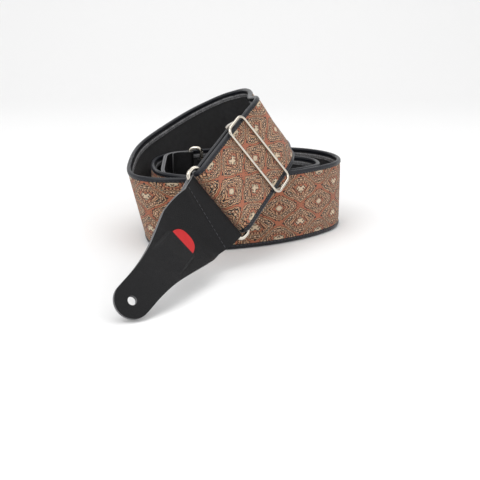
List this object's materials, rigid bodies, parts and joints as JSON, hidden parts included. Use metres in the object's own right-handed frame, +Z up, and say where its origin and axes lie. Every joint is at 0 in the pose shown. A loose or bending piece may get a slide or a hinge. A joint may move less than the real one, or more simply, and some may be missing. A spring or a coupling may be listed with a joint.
{
  "type": "guitar strap",
  "caption": "Woven guitar strap with bound edges, standing in a loose coil, with a slider, wire rings, leather end tabs with button holes, and a pick in a tab pocket.",
  "frame": {"origin": "middle of the bounding box seen from above, at the floor the coil stands on", "axes": "+Z up; -Y from the coil's middle towards the front tab's tip; +X to the right seen from the front tab"},
  "size_m": [0.2095, 0.3887, 0.1354],
  "materials": {
    "jacquard": "woven jacquard",
    "foam": "matte foam",
    "lining": "matte woven",
    "edging": "semi-gloss imitation leather",
    "hem_tape": "raw felted tape",
    "nickel": "polished",
    "leather": "grained, semi-matte",
    "thread": "matte",
    "pick_red": "matte"
  },
  "bodies": {
    "band": {"band_padding": "foam", "band_face_fabric": "jacquard", "band_lining": "lining", "hem_strip_upper": "hem_tape", "hem_strip_lower": "hem_tape", "bound_edge_upper": "edging", "bound_edge_lower": "edging", "band_tail": "jacquard", "rear_end_loop": "leather"},
    "slider": {"slider_frame": "nickel", "slider_center_bar": "nickel", "slider_end_loop": "edging"},
    "front_ring": {"front_ring": "nickel"},
    "front_tab": {"front_tab_face": "leather", "front_tab_backing": "leather", "front_tab_stitching": "thread"},
    "pick": {"pick": "pick_red"},
    "rear_ring": {"rear_ring": "nickel"},
    "rear_tab": {"rear_tab_face": "leather", "rear_tab_backing": "leather", "rear_tab_stitching": "thread"}
  },
  "joints": [
    {"name": "slider_slide", "type": "slide", "parent": "band", "child": "slider", "axis": [-0.4115, -0.8075, -0.4226], "range_m": [-0.008, 0.018], "deforming": ["band_tail"]},
    {"name": "front_ring_hinge", "type": "hinge", "parent": "band", "child": "front_ring", "pos_m": [-0.01131, -0.05635, 0.05878], "axis": [-0.6117, -0.0991, 0.7849], "range_deg": [-15, 60]},
    {"name": "front_tab_hinge", "type": "hinge", "parent": "front_ring", "child": "front_tab", "pos_m": [-0.01872, -0.06307, 0.05215], "axis": [-0.6117, -0.0991, 0.7849], "range_deg": [-15, 75]},
    {"name": "pick_slide", "type": "slide", "parent": "front_tab", "child": "pick", "axis": [0.2835, 0.9457, 0.1592], "range_m": [-0.003, 0.004]},
    {"name": "rear_ring_hinge", "type": "hinge", "parent": "band", "child": "rear_ring", "pos_m": [-0.03664, 0.1084, 0.0384], "axis": [0, 0, 1], "range_deg": [-2, 8]},
    {"name": "rear_tab_hinge", "type": "hinge", "parent": "rear_ring", "child": "rear_tab", "pos_m": [-0.04852, 0.11007, 0.0384], "axis": [0, 0, 1], "range_deg": [-1, 12]}
  ]
}
